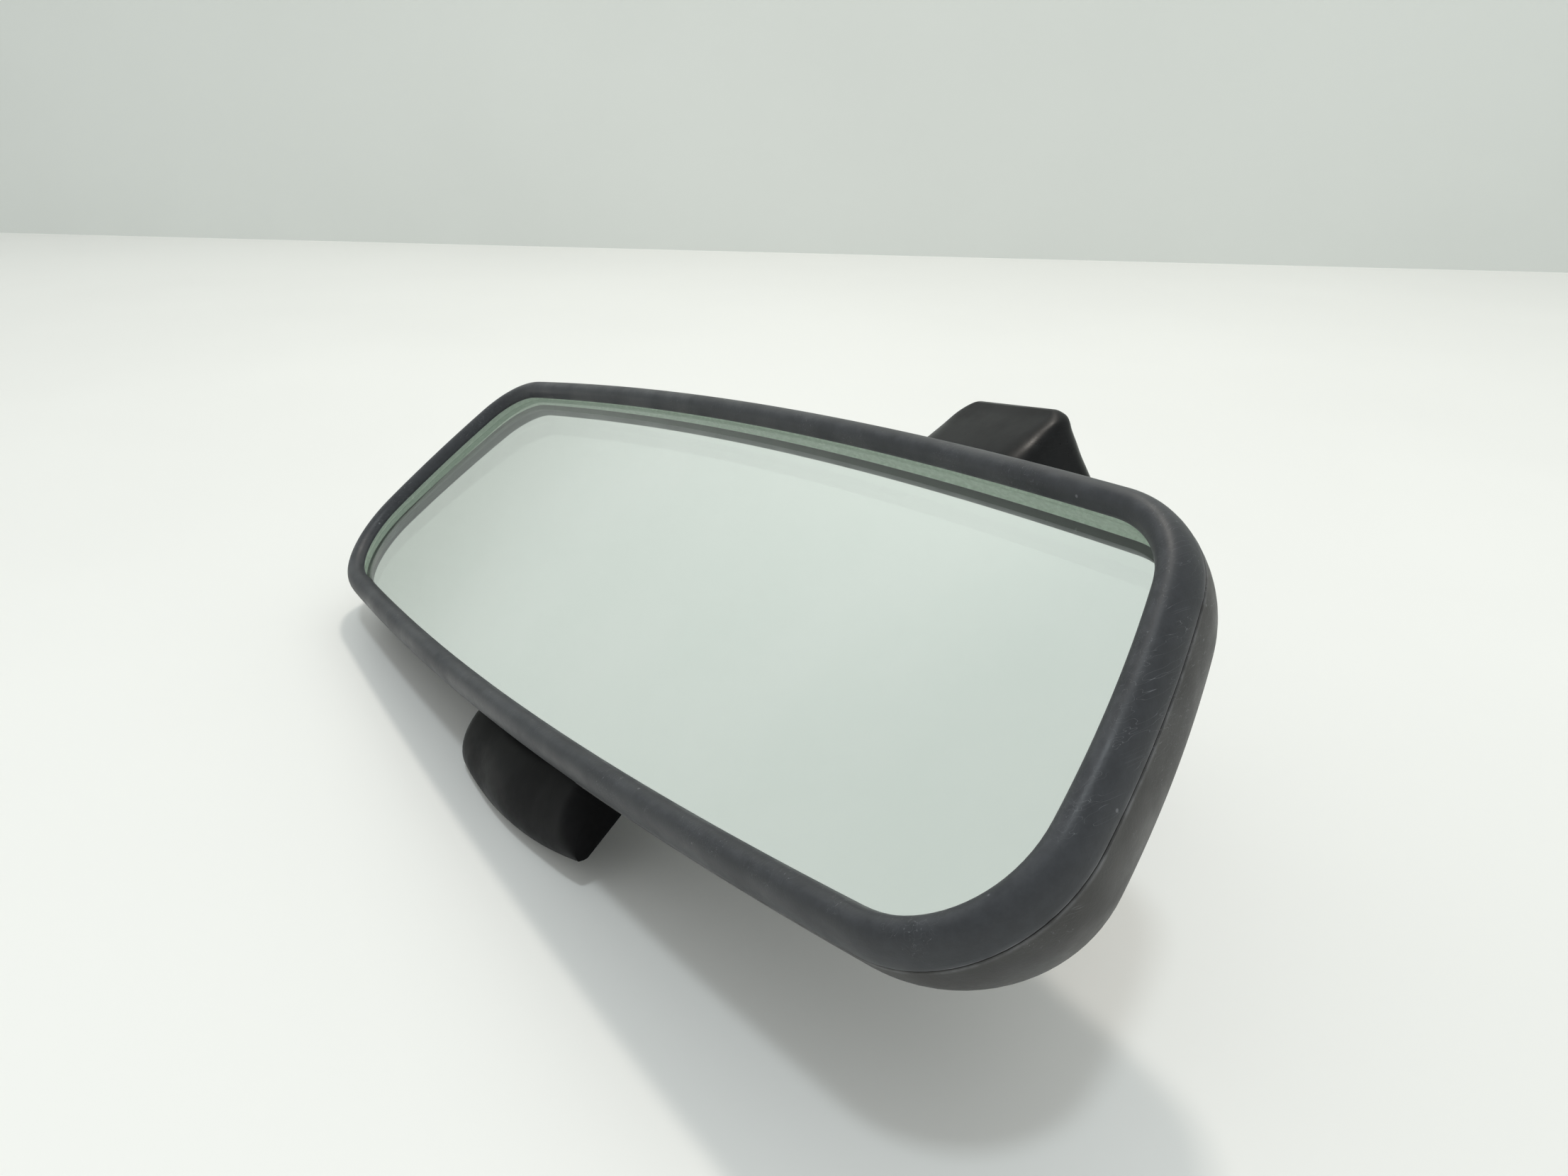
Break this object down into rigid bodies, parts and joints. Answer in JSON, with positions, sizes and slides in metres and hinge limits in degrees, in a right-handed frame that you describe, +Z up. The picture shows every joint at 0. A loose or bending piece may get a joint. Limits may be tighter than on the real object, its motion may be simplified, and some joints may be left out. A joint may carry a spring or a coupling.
{
  "type": "interior rearview mirror",
  "caption": "Interior rearview mirror with a dip lever: wedge glass in a two-part housing on a double-ball arm and a wedge-shaped windscreen foot.",
  "frame": {"origin": "centre of the bounding box at the table surface that the mirror lies on", "axes": "+X along the length of the mirror, +Y from its face towards the foot behind it, +Z up from the table"},
  "size_m": [0.242, 0.119, 0.0803],
  "materials": {
    "charcoal_plastic": "satin",
    "mirror_glass": "polished",
    "backing_film": "matte",
    "foam": "matte",
    "steel": "brushed",
    "nylon": "satin",
    "diecast_zinc": "cast",
    "black_plastic": "satin",
    "black_gloss_plastic": "semi-gloss",
    "satin_black_metal": "satin",
    "polished_steel": "polished"
  },
  "bodies": {
    "foot": {"foot_base": "diecast_zinc", "foot_cover": "black_gloss_plastic", "foot_socket_cap": "diecast_zinc", "cap_screw_upper": "steel", "cap_screw_lower": "steel", "foot_set_screw": "steel", "button_spring": "steel"},
    "upper_seat": {"upper_ball_seat": "nylon"},
    "arm": {"arm_stalk": "satin_black_metal", "upper_ball": "polished_steel", "lower_ball": "polished_steel"},
    "lower_seat": {"lower_ball_seat": "nylon"},
    "spring_cup": {"lower_spring_cup": "steel"},
    "bracket": {"pivot_bracket": "diecast_zinc", "socket_retainer": "diecast_zinc", "retainer_screw_left": "steel", "retainer_screw_right": "steel", "toggle_spring": "steel"},
    "head": {"front_bezel": "charcoal_plastic", "rear_shell": "charcoal_plastic", "mirror_glass": "mirror_glass", "glass_backing": "backing_film", "foam_strip_left": "foam", "foam_strip_right": "foam", "bracket_pivot_pin": "steel", "lever_pivot_pin": "steel", "pivot_bush_left": "nylon", "pivot_bush_right": "nylon"},
    "lever": {"dip_lever": "black_plastic"}
  },
  "joints": [
    {"name": "upper_ball_turn", "type": "hinge", "parent": "foot", "child": "upper_seat", "pos_m": [0.0283, 0.0407, 0.02175], "axis": [-0.1305, 0, 0.9914], "range_deg": [-3, 56]},
    {"name": "upper_ball_tilt", "type": "hinge", "parent": "upper_seat", "child": "arm", "pos_m": [0.0283, 0.0407, 0.02175], "axis": [0.9914, 0, 0.1305], "range_deg": [-12, 15]},
    {"name": "lower_ball_turn", "type": "hinge", "parent": "arm", "child": "lower_seat", "pos_m": [0.00032, -0.01038, 0.03202], "axis": [-0.0754, 0.7859, 0.6138], "range_deg": [-60, 3]},
    {"name": "lower_ball_tilt", "type": "hinge", "parent": "lower_seat", "child": "spring_cup", "pos_m": [0.00032, -0.01038, 0.03202], "axis": [0.9925, 0, 0.1219], "range_deg": [-8, 28]},
    {"name": "lower_ball_twist", "type": "hinge", "parent": "spring_cup", "child": "bracket", "pos_m": [0.00032, -0.01038, 0.03202], "axis": [0.0958, 0.6184, -0.78], "range_deg": [-12, 12]},
    {"name": "dip_tilt", "type": "hinge", "parent": "bracket", "child": "head", "pos_m": [-0.00178, 0.00022, 0.04915], "axis": [0.9925, 0, 0.1219], "range_deg": [-4.5, 0]},
    {"name": "dip_lever_flip", "type": "hinge", "parent": "head", "child": "lever", "pos_m": [0.00217, -0.04424, 0.01695], "axis": [0.9925, 0, 0.1219], "range_deg": [0, 30]}
  ],
  "couplings": [
    {"joint": "dip_lever_flip", "follows": "dip_tilt", "ratio": -6.6666}
  ]
}
